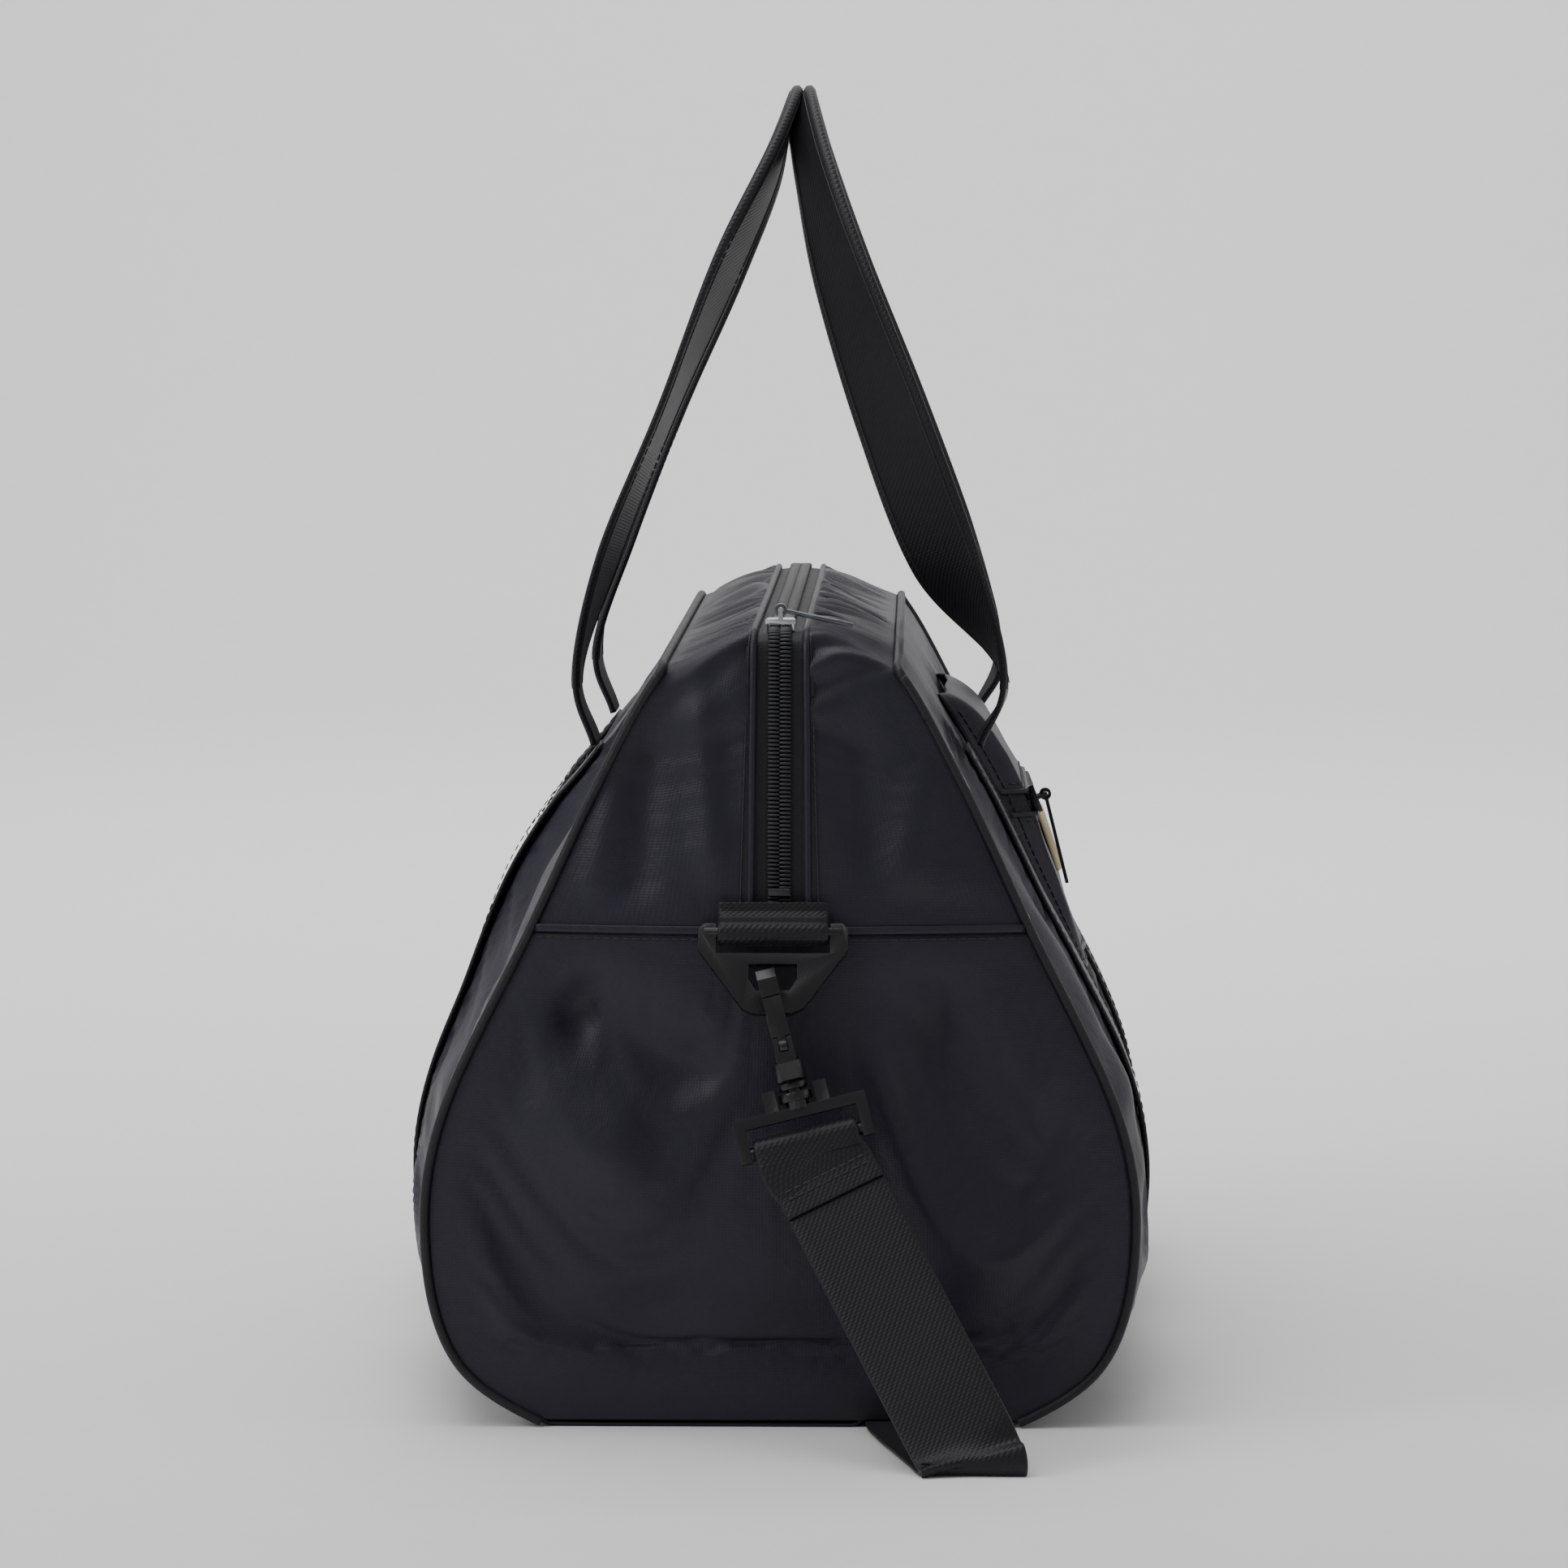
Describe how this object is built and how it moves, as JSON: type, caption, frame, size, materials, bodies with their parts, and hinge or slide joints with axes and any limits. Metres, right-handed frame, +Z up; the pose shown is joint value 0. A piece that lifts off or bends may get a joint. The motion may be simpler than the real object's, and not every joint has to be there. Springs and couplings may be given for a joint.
{
  "type": "duffel bag",
  "caption": "Soft holdall with a sagging barrel body, a long top zip, leaning webbing handles, a zipped side pocket and a clip-on shoulder strap.",
  "frame": {"origin": "on the ground, at the middle of the base", "axes": "+Y along the zip towards the far end, +X towards the pocket side, +Z up"},
  "size_m": [0.2848, 0.6838, 0.4947],
  "materials": {
    "cloth": "woven nylon with a satin face and a coated back",
    "piping": "corded binding",
    "zip_tape": "knitted zip tape",
    "zip_coil": "nylon coil",
    "slider_metal": "polished die-cast zinc, plated",
    "dark_metal": "black lacquered die-cast zinc",
    "webbing": "woven polypropylene webbing",
    "moulded_plastic": "moulded acetal",
    "board": "polyethylene sheet",
    "badge": "soft blank moulded badge"
  },
  "bodies": {
    "bag": {"front_side_panel": "cloth", "back_side_panel": "cloth", "base_panel": "cloth", "base_board": "board", "near_end_panel": "cloth", "far_end_panel": "cloth", "near_gusset_front": "cloth", "near_gusset_back": "cloth", "far_gusset_front": "cloth", "far_gusset_back": "cloth", "front_top_piping": "piping", "back_top_piping": "piping", "near_end_piping": "piping", "far_end_piping": "piping", "near_zip_tape": "zip_tape", "far_zip_tape": "zip_tape", "near_zip_coil": "zip_coil", "far_zip_coil": "zip_coil", "zip_stops": "slider_metal", "front_webbing": "webbing", "back_webbing": "webbing", "pocket_lower": "cloth", "pocket_upper": "cloth", "pocket_sides": "cloth", "pocket_zip_tape": "zip_tape", "pocket_zip_coil": "zip_coil", "pocket_badge": "badge", "near_tab": "webbing", "far_tab": "webbing", "shoulder_strap": "webbing"},
    "front_flap": {"front_flap": "cloth", "front_flap_coil": "zip_coil"},
    "back_flap": {"back_flap": "cloth", "back_flap_coil": "zip_coil"},
    "main_slider": {"main_slider": "slider_metal"},
    "main_pull": {"main_pull": "slider_metal"},
    "pocket_slider": {"pocket_slider": "dark_metal"},
    "pocket_pull": {"pocket_pull": "webbing"},
    "front_handle": {"front_handle": "webbing"},
    "back_handle": {"back_handle": "webbing"},
    "adjuster": {"strap_adjuster": "moulded_plastic"},
    "near_ring": {"near_ring": "moulded_plastic"},
    "near_clip": {"near_strap_frame": "moulded_plastic", "near_strap_loop": "webbing"},
    "near_hook": {"near_hook": "moulded_plastic"},
    "near_gate": {"near_gate": "moulded_plastic"},
    "far_ring": {"far_ring": "moulded_plastic"},
    "far_clip": {"far_strap_frame": "moulded_plastic", "far_strap_loop": "webbing"},
    "far_hook": {"far_hook": "moulded_plastic"},
    "far_gate": {"far_gate": "moulded_plastic"}
  },
  "joints": [
    {"name": "front_flap_open", "type": "hinge", "parent": "bag", "child": "front_flap", "pos_m": [0.043, 0, 0.2796], "axis": [0, 1, 0], "range_deg": [0, 60]},
    {"name": "back_flap_open", "type": "hinge", "parent": "bag", "child": "back_flap", "pos_m": [-0.043, 0, 0.2796], "axis": [0, -1, 0], "range_deg": [0, 60]},
    {"name": "main_zip_slide", "type": "slide", "parent": "bag", "child": "main_slider", "axis": [0, 1, 0], "range_m": [0, 0.444]},
    {"name": "main_pull_swing", "type": "hinge", "parent": "main_slider", "child": "main_pull", "pos_m": [0, -0.222, 0.2988], "axis": [0, -1, 0], "range_deg": [0, 200]},
    {"name": "pocket_zip_slide", "type": "slide", "parent": "bag", "child": "pocket_slider", "axis": [0, 1, 0], "range_m": [0, 0.092]},
    {"name": "pocket_pull_swing", "type": "hinge", "parent": "pocket_slider", "child": "pocket_pull", "pos_m": [0.09994, -0.046, 0.21683], "axis": [0, -1, 0], "range_deg": [0, 140]},
    {"name": "front_handle_swing", "type": "hinge", "parent": "bag", "child": "front_handle", "pos_m": [0.074, 0, 0.24], "axis": [0, 1, 0], "range_deg": [0, 110]},
    {"name": "back_handle_swing", "type": "hinge", "parent": "bag", "child": "back_handle", "pos_m": [-0.074, 0, 0.24], "axis": [0, -1, 0], "range_deg": [0, 110]},
    {"name": "near_ring_swing", "type": "hinge", "parent": "bag", "child": "near_ring", "pos_m": [-0.002, -0.2575, 0.184], "axis": [-1, 0, 0], "range_deg": [0, 60]},
    {"name": "near_clip_swing", "type": "hinge", "parent": "bag", "child": "near_clip", "pos_m": [-0.002, -0.2575, 0.184], "axis": [-1, 0, 0], "range_deg": [0, 60], "deforming": ["shoulder_strap"]},
    {"name": "near_hook_swivel", "type": "hinge", "parent": "near_clip", "child": "near_hook", "pos_m": [-0.002, -0.26881, 0.15976], "axis": [-0.2419, 0.2017, 0.9491], "range_deg": [-20, 20]},
    {"name": "near_gate_open", "type": "hinge", "parent": "near_hook", "child": "near_gate", "pos_m": [0.00211, -0.28241, 0.14578], "axis": [-0.9703, -0.0503, -0.2366], "range_deg": [0, 12], "stiffness_Nm_per_rad": 0.02, "springref_deg": -17.19},
    {"name": "far_ring_swing", "type": "hinge", "parent": "bag", "child": "far_ring", "pos_m": [-0.002, 0.2575, 0.184], "axis": [1, 0, 0], "range_deg": [0, 60]},
    {"name": "far_clip_swing", "type": "hinge", "parent": "bag", "child": "far_clip", "pos_m": [-0.002, 0.2575, 0.184], "axis": [1, 0, 0], "range_deg": [0, 60], "deforming": ["shoulder_strap"]},
    {"name": "far_hook_swivel", "type": "hinge", "parent": "far_clip", "child": "far_hook", "pos_m": [-0.002, 0.26881, 0.15976], "axis": [-0.2419, -0.2017, 0.9491], "range_deg": [-20, 20]},
    {"name": "far_gate_open", "type": "hinge", "parent": "far_hook", "child": "far_gate", "pos_m": [0.00211, 0.28241, 0.14578], "axis": [0.9703, -0.0503, 0.2366], "range_deg": [0, 12], "stiffness_Nm_per_rad": 0.02, "springref_deg": -17.19},
    {"name": "adjuster_slide", "type": "slide", "parent": "bag", "child": "adjuster", "axis": [0.4453, 0.4154, -0.7932], "range_m": [-0.012, 0.012]}
  ],
  "couplings": [
    {"joint": "near_clip_swing", "follows": "near_ring_swing", "ratio": 1},
    {"joint": "far_clip_swing", "follows": "far_ring_swing", "ratio": 1}
  ]
}
